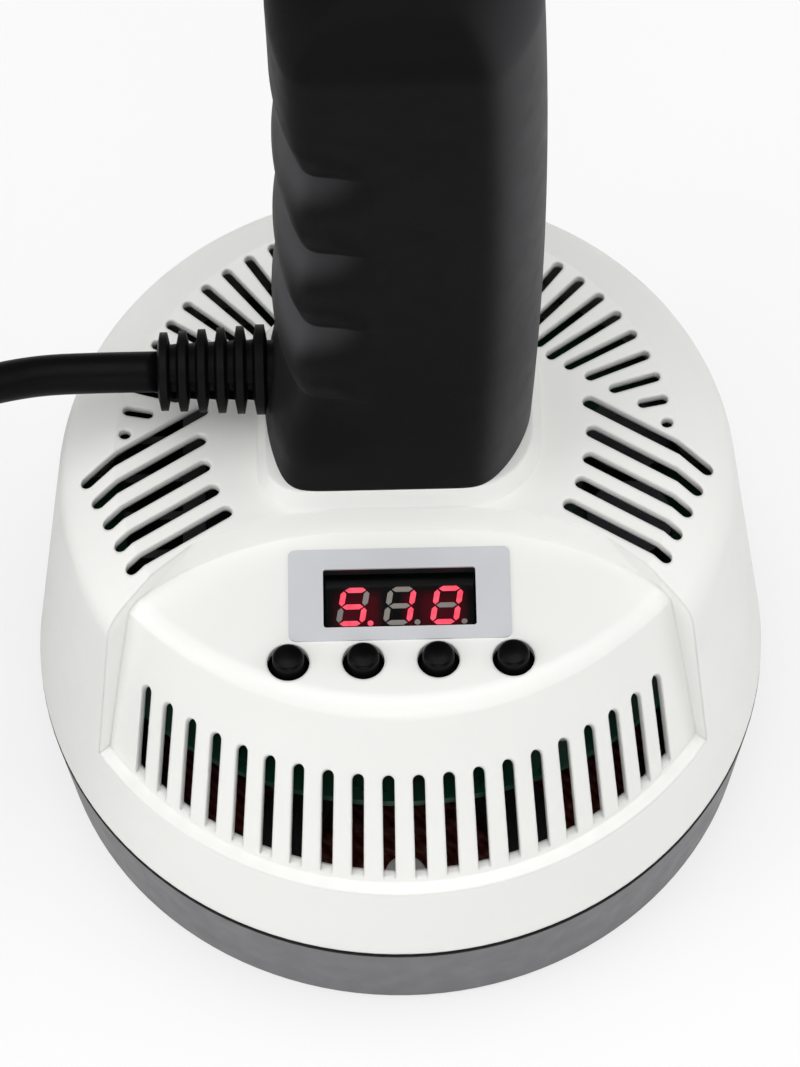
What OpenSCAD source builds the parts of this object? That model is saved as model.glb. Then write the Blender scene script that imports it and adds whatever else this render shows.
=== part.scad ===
// Handheld induction cap sealer: a vented drum housing on a grey sealing base,
// a post handle with finger bulges, a digital display with four push-buttons and a mains lead.
// Millimetres, +Z up, origin in the middle of the sealing face; the panel faces -Y.

/* [Sealing base] */
// Diameter at the seam between base and housing
seam_d = 130; // [126:1:140]
// How much less the sealing face's radius is than the seam's
foot_in = 2.5; // [2:0.1:3.5]
// Height of the base
base_h = 22; // [20:0.5:28]
// Thickness of the sealing floor
floor_t = 5; // [4:0.5:6]
// Wall of the base at its foot
base_wall = 3; // [2.5:0.1:3.5]
// Height of the lip that locates the housing
lip_h = 3; // [2:0.5:4]
// Depth of the shadow groove at the seam
groove = 0.6; // [0.4:0.1:0.8]
// Height of the shadow groove
groove_h = 1.2; // [0.8:0.1:1.6]

/* [Housing] */
// Wall of the moulded housing
wall = 1.7; // [1.6:0.1:2.2]
// Height of the deck above the seam
housing_h = 62.5; // [61:0.5:70]
// Lean of the side wall in degrees
side_taper = 6.8; // [5.5:0.1:7.5]
// How much less the flat deck's radius is than the seam's
deck_in = 16.5; // [15.5:0.5:18]
// Fall of the shoulder in degrees
shoulder_fall = 29; // [26:0.5:32]
// Round between shoulder and side wall
shoulder_round = 8; // [5:0.5:9]
// Height of the front ledge above the seam
ledge_h = 18; // [17:0.5:19]
// Width of the front ledge
ledge_w = 2.6; // [2.2:0.1:3]
// Lean of the chin in degrees
chin_tilt = 16.3; // [15.5:0.1:17]
// How much less the chin's radius is than the seam's
chin_in = 3; // [2.5:0.1:3.5]
// Half of the angle that the chin takes up in degrees
chin_half = 49.6; // [49:0.1:50.5]
// Round on the edge between panel and chin
edge_round = 4; // [3:0.5:5]

/* [Panel] */
// Drop of the panel below the deck
panel_drop = 4.5; // [4:0.1:5.5]
// Radius of the arch behind the panel
arch_r = 60; // [58:1:64]
// Straight length in the middle of the arch
arch_flat = 16; // [12:1:20]
// Draft of the step behind the panel in degrees
step_draft = 20; // [14:1:22]
// Width of the display label
label_w = 37.9; // [36:0.1:39]
// Depth of the display label
label_d = 18; // [17:0.1:18.4]
// Thickness of the display label
label_t = 0.3; // [0.2:0.05:0.5]
// Corner radius of the display label
label_r = 1.3; // [0.8:0.1:2]
// Gap between the arch and the label
label_gap = 3.7; // [3.2:0.1:4.2]
// Width of the display window
window_w = 26; // [25:0.1:27]
// Depth of the display window
window_d = 11.5; // [11:0.1:12.5]
// Distance from the panel's front edge to the button centres
button_margin = 9.52; // [9.2:0.02:10.2]
// Gap between label and button centres
button_gap = 3.9; // [3.8:0.05:4.2]
// Distance between buttons
button_pitch = 12.7; // [12:0.1:13.2]
// Diameter of the button holes
button_hole_d = 7.2; // [7:0.1:7.6]
// Gap round a button cap in its hole
button_clear = 0.9; // [0.6:0.05:1]
// How far a button cap stands above the panel
button_proud = 2.4; // [1.8:0.1:3]
// Travel of a button
button_travel = 0.8; // [0.4:0.1:1]

/* [Vents] */
// Width of the slots in the chin
chin_slot_w = 2.1; // [1.8:0.1:2.3]
// Number of slots in the chin
chin_slots = 20; // [12:2:20]
// Angle between slots in the chin
chin_pitch = 2.88; // [2.75:0.01:2.9]
// Distance behind the axis where the chin slots would meet
chin_fan = 50; // [46:1:54]
// Height of the chin slots above the ledge
chin_slot_h = 25; // [22:0.5:27]
// Lean of the chin slots' upper ends in degrees
chin_slot_lean = 26; // [20:1:30]
// Sill between the ledge and the chin slots
chin_sill = 0.8; // [0.5:0.1:1.5]
// Width of the slots in the cheeks
cheek_slot_w = 2.5; // [2:0.1:2.6]
// Number of slots in each cheek
cheek_slots = 5; // [3:1:5]
// Distance between cheek slots
cheek_pitch = 4.9; // [4.6:0.1:5]
// Angle of the cheek slots
cheek_angle = 32.5; // [31:0.5:34]
// Width of the radial slots at the rear
rear_slot_w = 2; // [1.6:0.1:2.2]
// Angle between radial slots
rear_pitch = 5.84; // [5.7:0.02:5.9]
// Radial slots on each side of the middle
rear_slots = 15; // [10:1:15]
// Gap between the deck's edge and the radial slots
rear_edge = 0.6; // [0.4:0.1:1]

/* [Handle] */
// Height of the handle
handle_h = 130; // [124:1:140]
// Width of the handle at its foot
handle_w = 45.8; // [44:0.2:48]
// Width of the handle at its top
handle_top_w = 43.6; // [42:0.2:45]
// Depth of the handle
handle_d = 36; // [35:0.2:38]
// How far the handle's middle stands to the palm side
handle_x = 0.5; // [0:0.1:1.2]
// How far the handle bows to the palm side on its way up
handle_bow = 2.7; // [1.5:0.1:3.5]
// Height of the pedestal above the deck
pedestal_h = 3.5; // [3:0.1:5]
// Lean of the pedestal in degrees
pedestal_lean = 22; // [18:1:24]
// Height of the first finger crease above the handle's foot
finger_z = 27; // [26:0.5:30]
// Height of one finger bulge
finger_pitch = 21.6; // [20:0.2:22.4]
// Depth of the creases between fingers
finger_depth = 2.2; // [1.4:0.1:2.6]
// Round of the handle's top
top_round = 12; // [8:0.5:14]
// Wall of the handle at its foot
handle_wall = 5.4; // [5:0.1:6]

/* [Mains lead] */
// Diameter of the lead
cord_d = 7; // [6:0.1:7.4]
// Height of the lead above the handle's foot
cord_z = 10.8; // [10:0.1:12]
// Ribs on the strain relief
relief_ribs = 6; // [4:1:7]
// Distance between ribs
relief_pitch = 3.25; // [2.9:0.05:3.3]
// Diameter of the rib nearest the handle
relief_d = 15.4; // [14:0.1:16]
// Diameter of the last rib
relief_end_d = 13.4; // [12:0.1:14]
// Diameter of the neck in the handle's wall
neck_d = 10; // [9:0.1:11]

/* [Inside] */
// Thickness of the circuit boards
board_t = 1.6; // [1.2:0.1:2]
// Height of the main board above the seam
board_h = 30; // [28:0.5:31]
// Diameter of the coil's wire
wire_d = 4; // [3.5:0.1:4.2]
// Turns of the coil
coil_turns = 7; // [5:1:7]
// Inner radius of the coil
coil_r = 20; // [19:0.5:21]
// Height of the cooling fan
fan_h = 10; // [9:0.5:11]
// Diameter of the screws
screw_d = 3; // [2.6:0.1:3.2]

/* [Hidden] */
$fn = 72;
// clearance between pieces that seat in one another, and overlap of a cut past a face
fit = 0.1;
cut = 1;

// heights of the main levels
z_seam = base_h;
z_ledge = z_seam + ledge_h;
z_deck = z_seam + housing_h;
z_panel = z_deck - panel_drop;
z_handle = z_deck + pedestal_h;
z_top = z_handle + handle_h;
z_cord = z_handle + cord_z;
z_board = z_seam + board_h;
z_board_top = z_board + board_t;

// side wall and shoulder, moved inwards by t
foot_r = seam_d / 2 - foot_in;
deck_r = seam_d / 2 - deck_in;
function side_r(z, t = 0) = seam_d / 2 - t / cos(side_taper) - tan(side_taper) * (z - z_seam);
function shoulder_z(r, t = 0) = z_deck - t / cos(shoulder_fall) - tan(shoulder_fall) * (r - deck_r);
function corner_r(t) =
    (side_r(z_seam, t) - tan(side_taper) * (shoulder_z(deck_r, t) + tan(shoulder_fall) * deck_r - z_seam))
    / (1 - tan(side_taper) * tan(shoulder_fall));
function deck_edge(t) = deck_r - t * tan(shoulder_fall / 2);

// chin: a cylinder that leans back, through the ledge's inner edge at the front
chin_r = seam_d / 2 - chin_in;
chin_b = chin_r / cos(chin_tilt);
chin_front0 = side_r(z_ledge) - ledge_w;
function chin_y(z) = chin_b - chin_front0 + (z - z_ledge) * tan(chin_tilt);
// circle that follows the panel's front edge
edge_span = 48;
edge_sag = chin_b * (1 - cos(edge_span));
edge_r = (pow(chin_r * sin(edge_span), 2) + pow(edge_sag, 2)) / (2 * edge_sag);
edge_y = chin_y(z_panel) - chin_b + edge_r;

// places on the panel
button_y = chin_y(z_panel) - chin_b + button_margin;
label_y = button_y + button_gap + label_d / 2;
window_low = 0.7;
window_r = 0.5;
window_y = label_y - window_low;
panel_back = -label_y - label_d / 2 - label_gap;
handle_front = panel_back - (pedestal_h + panel_drop) * tan(pedestal_lean);
button_xs = [for (i = [0:3]) (i - 1.5) * button_pitch];

// handle section: its middle, half widths and the corners of its foot
handle_y = handle_d / 2 - handle_front;
foot_a = handle_w / 2;
top_a = handle_top_w / 2;
handle_b = handle_d / 2;
finger_corner = 6;
palm_corner = 12;
z_finger = z_handle + finger_z;

// display board below the panel
led_face = 2.8;
switch_h = 5;
z_led = z_panel - led_face;
display_gap = 7.9;
z_display_top = z_panel - wall - display_gap;
z_display = z_display_top - board_t;
// how far the display board reaches past the outer buttons, behind the panel and ahead of the buttons
display_side = 5;
display_behind = 1.2;
display_ahead = 3.6;
display_w = 3 * button_pitch + 2 * display_side;
display_back = panel_back + display_behind;
display_front = -button_y + display_ahead;
post_d = 5;
post_side = 0.3;
post_ys = [-4, 8];
display_posts = [for (x = [-1, 1], y = post_ys) [x * (label_w / 2 + post_side), label_y + y]];

// base: posts for the board and columns for the screws
base_in_r = foot_r - base_wall;
post_in = 4.5;
post_r = base_in_r - post_in;
board_posts = [-25, 60, 120, 205];
column_in = 2.4;
column_r = base_in_r - column_in;
column_d = 8.4;
screw_angles = [20, 90, 160, 270];
head_d = 6;
head_h = 2.4;
well_d = head_d + 1;
well_gap = 8;
well_z = base_h - well_gap;
screw_bite = 12;
board_clear = 1.2;
board_r = side_r(z_board_top, wall) - board_clear;
// small screws of the boards and the fan
board_screw_d = 2.5;
board_screw_bite = 6;
small_screw_d = 2;
small_hole_d = 2.4;
small_head_d = 4;
small_head_h = 1.6;
display_bite = 5;
fan_bite = 4;

// coil former, coil and ferrite bars
former_t = 2;
former_clear = 4.4;
former_r = post_r - former_clear;
former_rim = 2.4;
z_coil = floor_t + former_t;
bar_gap = 1.6;
z_bars = z_coil + wire_d + bar_gap;
hub_gap = 3;
hub_r = coil_r - hub_gap;
bar_w = 11;
bar_t = 5;
coil_gap = 0.6;
coil_pitch = (former_r - former_rim - coil_gap - wire_d - coil_r) / (coil_turns - 1);
lead_angles = [-104, -76];
lead_d = 3;
coil_out = coil_r + coil_pitch * (coil_turns - 1) + wire_d / 2;

// cooling fan under the rear of the deck
fan_hang = 6;
fan_clear = 3.1;
z_fan = z_deck - wall - fan_hang - fan_h;
fan_ahead = 2;
fan_front = handle_y + fan_ahead;
fan_room = side_r(z_fan + fan_h, wall) - fan_clear;
// widest square frame that starts at fan_front and keeps its rear corners within fan_room
fan_w = (sqrt(5 * pow(fan_room, 2) - pow(fan_front, 2)) - 2 * fan_front) / 2.5;
fan_y = fan_front + fan_w / 2;
fan_rim = 1;
fan_bore = fan_w - 2 * fan_rim;
fan_hub = 16;
fan_pin = 3;
// the corner holes stand at four fifths of the frame's half width
fan_holes = 0.8 * fan_w / 2;
fan_spots = [for (x = [-1, 1], y = [-1, 1]) [x * fan_holes, fan_y + y * fan_holes]];

// bosses inside the handle
boss_d = 7;
boss_h = 16;
boss_out = 1.9;
boss_finger = 11.9;
boss_palm = 12.4;
handle_spots = [for (x = [handle_x - foot_a + boss_finger, handle_x + foot_a - boss_palm], y = [-1, 1])
    [x, handle_y + y * (handle_b - handle_wall - boss_out)]];
plate_t = 3;
pedestal_wall = 3.5;
// width, depth and corner of the way up into the handle
lead_way = [16, 14, 3];

// route of the lead from the strain relief to its coil, and from the coil to the plug
relief_step = 2.7;
relief_tip = 0.1;
relief_len = relief_step + (relief_ribs - 1) * relief_pitch + relief_tip;
// the handle's middle and half width at height z, and its outer face where the lead enters
bow_peak = 0.65;
relief_sink = 0.3;
function rise(z) = (z - z_handle) / handle_h;
function middle_x(z) = handle_x + handle_bow * (1 - pow(1 - rise(z) / bow_peak, 2));
function half_x(z) = foot_a + (top_a - foot_a) * rise(z);
wall_x = middle_x(z_cord) - half_x(z_cord) + relief_sink;
cord_y = handle_y;
bundle_r = 40;
coil_x = -150;
coil_y = cord_y + bundle_r + cord_d / 2;
tie_t = 0.6;
// each point of the lead: how far to the left, and its share of the whole fall in percent
lead_route = [
    [-50, 0], [-58, 0.3], [-63.5, 1.3], [-68.8, 3.1], [-73.8, 5.6], [-78.4, 8.9], [-82.6, 12.7],
    [-86.2, 17.2], [-88.8, 21.4], [-90.9, 26], [-95.9, 38.7], [-100.8, 51.3], [-105.8, 64],
    [-110.7, 76.7], [-112.9, 81.4], [-116.5, 86.8], [-120.9, 91.3], [-126.1, 95], [-131.8, 97.7],
    [-137.8, 99.5], [-144.1, 100], [-150, 100]];
// each point of the tail: how far towards the front, and its share of the way down to the plug in percent
tail_route = [
    [0, 0], [6, 4], [12, 15], [18, 33], [24, 55], [30, 76], [36, 91], [42, 98.6], [46, 100], [48, 100]];

// colours as they look in the photo
white = [0.93, 0.93, 0.92];
grey = [0.45, 0.44, 0.45];
black = [0.11, 0.11, 0.12];
silver = [0.68, 0.70, 0.73];
green = [0.10, 0.38, 0.20];
copper = [0.45, 0.22, 0.13];
steel = [0.75, 0.75, 0.77];

// a point at radius r and angle a, and a child set there
function polar(r, a) = [r * cos(a), r * sin(a)];
module at(r, a, z = 0) { rotate(a) translate([r, 0, z]) children(); }

// a rectangle with round corners, drawn from squares and circles
module round_rect(w, d, r) {
    square([w - 2 * r, d], center = true);
    square([w, d - 2 * r], center = true);
    for (x = [-1, 1], y = [-1, 1]) translate([x * (w / 2 - r), y * (d / 2 - r)]) circle(r);
}

// a slot along +X from s0 to s1, round at both ends
module slot(s0, s1, w) {
    translate([s0 + w / 2, -w / 2]) square([s1 - s0 - w, w]);
    for (s = [s0 + w / 2, s1 - w / 2]) translate([s, 0]) circle(d = w);
}

// a pan-head screw with its head below z = 0 and its shank up to h
module screw(h) {
    translate([0, 0, -head_h]) cylinder(d = head_d, h = head_h);
    cylinder(d = screw_d, h = h);
}
module small_screw(h) {
    translate([0, 0, -small_head_h]) cylinder(d = small_head_d, h = small_head_h);
    cylinder(d = small_screw_d, h = h);
}

// half of the drum's section, moved inwards by t, with a round at the shoulder
module drum_section(t) {
    r = shoulder_round - t;
    c = [corner_r(t), shoulder_z(corner_r(t), t)];
    down = [sin(side_taper), -cos(side_taper)];
    up = [-cos(shoulder_fall), sin(shoulder_fall)];
    half = acos(down * up) / 2;
    mid = (down + up) / norm(down + up);
    centre = c + mid * r / sin(half);
    reach = r / tan(half);
    polygon([[0, z_seam], [side_r(z_seam, t), z_seam], c + down * reach, centre, c + up * reach,
        [deck_edge(t), z_deck - t], [0, z_deck - t]]);
    translate(centre) circle(r);
}

module drum(t) { rotate_extrude($fn = 144) drum_section(t); }

// the leaning cylinder whose front is the chin
module chin_cylinder(t) {
    translate([0, chin_y(z_ledge), z_ledge]) rotate([-chin_tilt, 0, 0])
        cylinder(r = chin_r - t, h = 4 * housing_h, center = true, $fn = 144);
}

// the wedge in front that holds chin and panel, from height z upwards, wider by t on each side
module chin_wedge(z, t) {
    far = 2 * seam_d;
    x = far * sin(chin_half);
    y = far * cos(chin_half);
    translate([0, edge_y + t / sin(chin_half), z]) linear_extrude(housing_h)
        polygon([[0, 0], [-x, -y], [x, -y]]);
}

// what is cut away above the panel, in front of the arch, with a sloping step
module panel_cut(z, back, h) {
    grow = h * tan(step_draft);
    y0 = -back - arch_r;
    for (x = [-1, 1]) translate([x * arch_flat / 2, y0, z])
        cylinder(r1 = arch_r, r2 = arch_r + grow, h = h, $fn = 144);
    translate([-arch_flat / 2, 0, z]) rotate([90, 0, 90]) linear_extrude(arch_flat)
        polygon([[y0 - arch_r, 0], [-back, 0], [-back + grow, h], [y0 - arch_r, h]]);
}

// the round on the panel's front edge, as the ring that is cut away
module edge_cut() {
    half = (90 + chin_tilt) / 2;
    reach = edge_round / tan(half);
    low = reach * cos(chin_tilt);
    r0 = edge_r - reach;
    translate([0, edge_y, 0]) rotate_extrude($fn = 144) difference() {
        polygon([[r0, z_panel + cut], [edge_r + edge_round, z_panel + cut],
            [edge_r + edge_round, z_panel - low], [edge_r + reach * sin(chin_tilt), z_panel - low],
            [r0, z_panel - edge_round]]);
        translate([r0, z_panel - edge_round]) circle(edge_round);
    }
}

// the handle's foot with round corners, larger by grow at z0 than at z1
module pedestal(z0, z1, grow) {
    h = z1 - z0;
    x0 = handle_x - foot_a;
    x1 = handle_x + foot_a;
    y0 = handle_y - handle_b;
    y1 = handle_y + handle_b;
    fc = finger_corner;
    pc = palm_corner;
    for (y = [y0 + fc, y1 - fc]) translate([x0 + fc, y, z0]) cylinder(r1 = fc + grow, r2 = fc, h = h);
    for (y = [y0 + pc, y1 - pc]) translate([x1 - pc, y, z0]) cylinder(r1 = pc + grow, r2 = pc, h = h);
    translate([x0 + fc, 0, z0]) rotate([90, 0, 90]) linear_extrude(x1 - pc - x0 - fc)
        polygon([[y0 - grow, 0], [y1 + grow, 0], [y1, h], [y0, h]]);
    translate([0, y1 - fc, z0]) rotate([90, 0, 0]) linear_extrude(y1 - y0 - 2 * fc)
        polygon([[x0 - grow, 0], [handle_x, 0], [handle_x, h], [x0, h]]);
    translate([0, y1 - pc, z0]) rotate([90, 0, 0]) linear_extrude(y1 - y0 - 2 * pc)
        polygon([[handle_x, 0], [x1 + grow, 0], [x1, h], [handle_x, h]]);
}

// how far out a chin slot starts, measured from the point where the slots would meet
function chin_slot_in(a) =
    let (k = chin_fan - chin_y(z_ledge + chin_slot_h),
        p = pow(sin(a) / chin_r, 2) + pow(cos(a) / chin_b, 2),
        q = -2 * k * cos(a) / pow(chin_b, 2),
        r = pow(k / chin_b, 2) - 1)
    (-q + sqrt(q * q - 4 * p * r)) / (2 * p);

// fanned blades through the chin, leaning so that their upper ends pass the wall soon
module chin_vents() {
    long = 2 * chin_slot_h;
    difference() {
        for (i = [0:chin_slots - 1]) {
            a = (i - (chin_slots - 1) / 2) * chin_pitch;
            translate([0, chin_fan, z_ledge + chin_slot_h]) rotate(a - 90)
                translate([chin_slot_in(a), 0, 0]) rotate([0, chin_slot_lean, 0])
                translate([0, 0, -long]) linear_extrude(long + chin_slot_w) slot(0, seam_d, chin_slot_w);
        }
        translate([-seam_d, -2 * seam_d, z_ledge + chin_sill - 2 * seam_d]) cube(2 * seam_d);
    }
}

// upright blades through each cheek, from the pedestal out over the shoulder
module cheek_vents() {
    first = 25.5;
    inner = 33.8;
    step = 0.83;
    edge = 0.6;
    longer = 0.8;
    for (i = [0:cheek_slots - 1]) {
        reach = deck_r - edge + i * longer;
        off = first - i * cheek_pitch;
        start = sqrt(pow(inner - i * step, 2) - off * off);
        rotate(-cheek_angle) translate([0, off, z_deck - 2 * panel_drop]) linear_extrude(3 * panel_drop)
            slot(start, reach, cheek_slot_w);
    }
}

// radial blades through the rear of the deck, cut off along the cheeks' rear edge
module rear_vents() {
    line = 29.35;
    clear = 4.8;
    least = handle_y + handle_b + pedestal_h * tan(pedestal_lean) + clear;
    for (i = [0:rear_slots - 1]) {
        a = (i + 0.5) * rear_pitch;
        start = max(least, line / cos(cheek_angle - a));
        rotate(90 - a) translate([0, 0, z_deck - 2 * wall]) linear_extrude(4 * wall)
            slot(min(start, deck_r - rear_edge - rear_slot_w - fit), deck_r - rear_edge, rear_slot_w);
    }
}

module housing_outside() {
    sink = 0.5;
    difference() {
        drum(0);
        intersection() {
            chin_wedge(z_ledge, 0);
            union() {
                difference() { chin_wedge(z_ledge - cut, cut); chin_cylinder(0); }
                panel_cut(z_panel, panel_back, panel_drop + cut);
                edge_cut();
            }
        }
    }
    pedestal(z_deck - sink, z_handle, (pedestal_h + sink) * tan(pedestal_lean));
}

module housing_inside() {
    difference() {
        union() {
            drum(wall);
            translate([0, 0, z_seam - cut]) cylinder(r = side_r(z_seam, wall), h = 2 * cut);
        }
        intersection() {
            chin_wedge(z_ledge - wall, wall);
            union() {
                difference() { chin_wedge(z_ledge - 2 * wall, 2 * wall); chin_cylinder(wall); }
                panel_cut(z_panel - wall, panel_back - wall, panel_drop + cut);
            }
        }
    }
    // hollow of the pedestal
    translate([handle_x, handle_y, z_deck - 2 * wall])
        linear_extrude(z_handle - plate_t - z_deck + 2 * wall)
        round_rect(handle_w - 2 * pedestal_wall, handle_d - 2 * pedestal_wall, finger_corner);
}

// where a fan boss ends: in the pedestal's plate at the front, under the deck's edge at the rear
function fan_roof(p) = p[1] < fan_y ? z_handle - plate_t / 2
    : min(z_deck - wall / 2, shoulder_z(norm(p) + post_d / 2) - 2 * fit);

// bosses inside the housing: for the base screws, the display board and the fan
module housing_bosses() {
    boss = 7.2;
    rise = 15;
    web = 2.4;
    web_z = lip_h + 0.5;
    sink = 0.6;
    for (a = screw_angles) {
        at(column_r, a, z_seam) cylinder(d = boss, h = rise);
        at(column_r, a, z_seam + web_z) translate([0, -web / 2, 0])
            cube([side_r(z_seam + rise, wall) - column_r + sink, web, rise - web_z]);
    }
    for (p = display_posts) translate([p[0], p[1], z_display_top])
        cylinder(d = post_d, h = display_gap + wall / 2);
    for (p = fan_spots) translate([p[0], p[1], z_fan + fan_h])
        cylinder(d = post_d, h = fan_roof(p) - z_fan - fan_h);
}

module housing() {
    pilot = screw_d + fit;
    small_pilot = small_screw_d + fit;
    deeper = 1;
    fan_deeper = 0.2;
    color(white) difference() {
        union() {
            difference() { housing_outside(); housing_inside(); }
            housing_bosses();
        }
        chin_vents();
        cheek_vents();
        mirror([1, 0, 0]) cheek_vents();
        rear_vents();
        mirror([1, 0, 0]) rear_vents();
        // way up into the handle for the mains leads, and holes for the handle's screws
        translate([handle_x, handle_y, z_deck]) linear_extrude(pedestal_h + cut)
            round_rect(lead_way[0], lead_way[1], lead_way[2]);
        for (p = handle_spots) translate([p[0], p[1], z_deck]) cylinder(d = pilot, h = pedestal_h + cut);
        // window and button holes
        translate([0, window_y, z_panel - 2 * wall]) linear_extrude(4 * wall)
            round_rect(window_w, window_d, window_r);
        for (x = button_xs) translate([x, button_y, z_panel - 2 * wall])
            cylinder(d = button_hole_d, h = 4 * wall);
        // pilot holes of the screws, a little deeper than the screws reach
        for (a = screw_angles) at(column_r, a, z_seam - cut)
            cylinder(d = pilot, h = screw_bite + deeper + cut);
        for (p = display_posts) translate([p[0], p[1], z_display_top - cut])
            cylinder(d = small_pilot, h = display_bite + deeper + cut);
        for (p = fan_spots) translate([p[0], p[1], z_fan + fan_h - cut])
            cylinder(d = small_pilot, h = fan_bite + fan_deeper + cut);
    }
}

// grey base: a dish with a flat sealing face, a locating lip, posts for the board and screw columns
module sealing_base() {
    foot_bevel = 1.2;
    lip_r = side_r(z_seam + lip_h, wall) - 2 * fit;
    groove_r = seam_d / 2 - groove;
    board_post_d = 6.4;
    rib = 2.4;
    deeper = 2;
    color(grey) difference() {
        union() {
            rotate_extrude($fn = 144) difference() {
                polygon([[0, 0], [foot_r - foot_bevel, 0], [foot_r, foot_bevel],
                    [seam_d / 2, base_h - groove_h], [groove_r, base_h - groove_h],
                    [groove_r, base_h], [0, base_h]]);
                translate([0, floor_t]) square([base_in_r, base_h]);
            }
            difference() {
                translate([0, 0, base_h - cut]) rotate_extrude($fn = 144)
                    translate([base_in_r, 0]) square([lip_r - base_in_r, lip_h + cut]);
                for (a = screw_angles) at(column_r, a, base_h) cylinder(d = column_d + 1, h = lip_h + cut);
            }
            for (a = screw_angles) at(column_r, a, floor_t - cut)
                cylinder(d = column_d, h = base_h - floor_t + cut);
            for (a = board_posts) at(post_r, a, floor_t - cut) {
                cylinder(d = board_post_d, h = z_board - floor_t + cut);
                translate([0, -rib / 2, 0]) cube([post_in + cut, rib, base_h - floor_t]);
            }
        }
        for (a = screw_angles) {
            at(column_r, a, -cut) cylinder(d = well_d, h = well_z + cut);
            at(column_r, a, 0) cylinder(d = screw_d + 4 * fit, h = base_h + lip_h);
        }
        for (a = board_posts) at(post_r, a, z_board - board_screw_bite - deeper)
            cylinder(d = board_screw_d + fit, h = board_screw_bite + deeper + cut);
    }
}

// handle section at height z: flat front and rear with tight corners, arched sides, creases at the left
corner_n = 12;
finger_arch = 0.17;
palm_arch = 0.36;
bulge_peak = 0.5;
crease_from = 3;
crease_blend = 13;
function smooth(v) = let (s = min(max(v, 0), 1)) s * s * (3 - 2 * s);
function bulge(u) = pow(u < bulge_peak ? 1 - u / bulge_peak : (u - bulge_peak) / (1 - bulge_peak), 2);
function crease(z) =
    let (u = (z - z_finger) / finger_pitch, fade = 9)
    u < 0 ? 1 - smooth((z_finger - z) / fade) : u > 3 + bulge_peak ? 0 : bulge(u - floor(u));
function section(z, a, shrink) =
    let (c = cos(a), s = sin(a),
        u = [c, s] / pow(pow(abs(c), corner_n) + pow(abs(s), corner_n), 1 / corner_n),
        arch = u[0] < 0 ? finger_arch : palm_arch,
        p = [half_x(z) * u[0] * (1 - arch * u[1] * u[1]), handle_b * u[1]],
        side = smooth((-p[0] - crease_from) / crease_blend),
        q = p * (1 - shrink / handle_b) - p / norm(p) * finger_depth * crease(z) * side)
    [middle_x(z) + q[0], handle_y + q[1], z];
handle_sides = 64;
foot_zs = [0, 6, 12, 18, 21, 24, 27, 30];
bulge_us = [0, 0.1, 0.2, 0.34, bulge_peak, 0.66, 0.8, 0.9];
// angle of each corner point, closer together towards the four corners
function turn(i) = let (a = i * 360 / handle_sides) a + 6 * sin(4 * a);
function handle_ring(z, shrink) = [for (i = [0:handle_sides - 1]) section(z, turn(i), shrink)];
handle_rings = concat(
    [for (z = foot_zs) handle_ring(z_handle + z * finger_z / 32, 0)],
    [for (f = [0:3], u = bulge_us) if (f + u <= 3 + bulge_peak)
        handle_ring(z_finger + (f + u) * finger_pitch, 0)],
    [for (a = [0:15:75]) handle_ring(z_top - top_round + top_round * sin(a), top_round * (1 - cos(a)))],
    [handle_ring(z_top, 0.9 * top_round)]);

// a closed solid through rings of points, from the lowest ring up
module loft(rings) {
    n = len(rings[0]);
    m = len(rings);
    polyhedron(points = [for (r = rings, p = r) p], faces = concat(
        [[for (i = [0:n - 1]) i]], [[for (i = [n - 1:-1:0]) (m - 1) * n + i]],
        [for (j = [0:m - 2], i = [0:n - 1]) let (a = j * n, b = a + n, k = (i + 1) % n)
            [a + i, b + i, b + k, a + k]]));
}

// hollow of the handle: its middle, width, corners and inner face on the finger side
pocket_side = 0.8;
pocket_arch = 5;
pocket_x = handle_x + pocket_side;
pocket_w = handle_w - 2 * handle_wall - pocket_arch;
pocket_corner = 6;
inner_x = pocket_x - pocket_w / 2;

module handle() {
    solid_top = 22;
    deeper = 1;
    color(black) difference() {
        loft(handle_rings);
        difference() {
            translate([pocket_x, handle_y, z_handle - cut]) linear_extrude(handle_h - solid_top + cut)
                round_rect(pocket_w, handle_d - 2 * handle_wall, pocket_corner);
            for (p = handle_spots) translate([p[0], p[1], z_handle - 2 * cut])
                cylinder(d = boss_d, h = boss_h);
        }
        for (p = handle_spots) translate([p[0], p[1], z_handle - cut])
            cylinder(d = screw_d + fit, h = screw_bite + deeper + cut);
        translate([handle_x, cord_y, z_cord]) rotate([0, -90, 0])
            cylinder(d = neck_d + 2 * fit, h = handle_w);
    }
}

// ribbed strain relief, turned about the lead, with pockets between its ribs
function rib_r(i) = (relief_d + (relief_end_d - relief_d) * i / (relief_ribs - 1)) / 2;
function core_r(i) = neck_d / 2 + 0.2 - 0.6 * i / (relief_ribs - 1);
relief_flange = 2.4;
module strain_relief() {
    slope = 0.45;
    flange_r = neck_d / 2 + 1.5;
    gap = 1.1;
    face = 0.3;
    pocket = [5.2, 2 * neck_d, 0.9];
    neck = inner_x - wall_x;
    color(black) translate([wall_x, cord_y, z_cord]) rotate([0, -90, 0]) difference() {
        rotate_extrude() polygon(concat(
            [[0, -neck - relief_flange], [flange_r, -neck - relief_flange], [flange_r, -neck],
                [neck_d / 2, -neck], [neck_d / 2, face]],
            [for (i = [0:relief_ribs - 1])
                let (e = relief_step + i * relief_pitch, s = i == 0 ? face : e - relief_pitch + gap)
                each [[core_r(i), s], [rib_r(i), s + slope], [rib_r(i), e - slope], [core_r(i), e]]],
            [[0, relief_len - relief_tip]]));
        for (i = [0:relief_ribs - 2]) translate([0, 0, relief_step + i * relief_pitch]) difference() {
            translate([-pocket[0] / 2, -neck_d, fit]) cube(pocket);
            translate([0, 0, -cut]) cylinder(d = cord_d + 2 * fit, h = 4 * cut);
        }
    }
}

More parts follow.
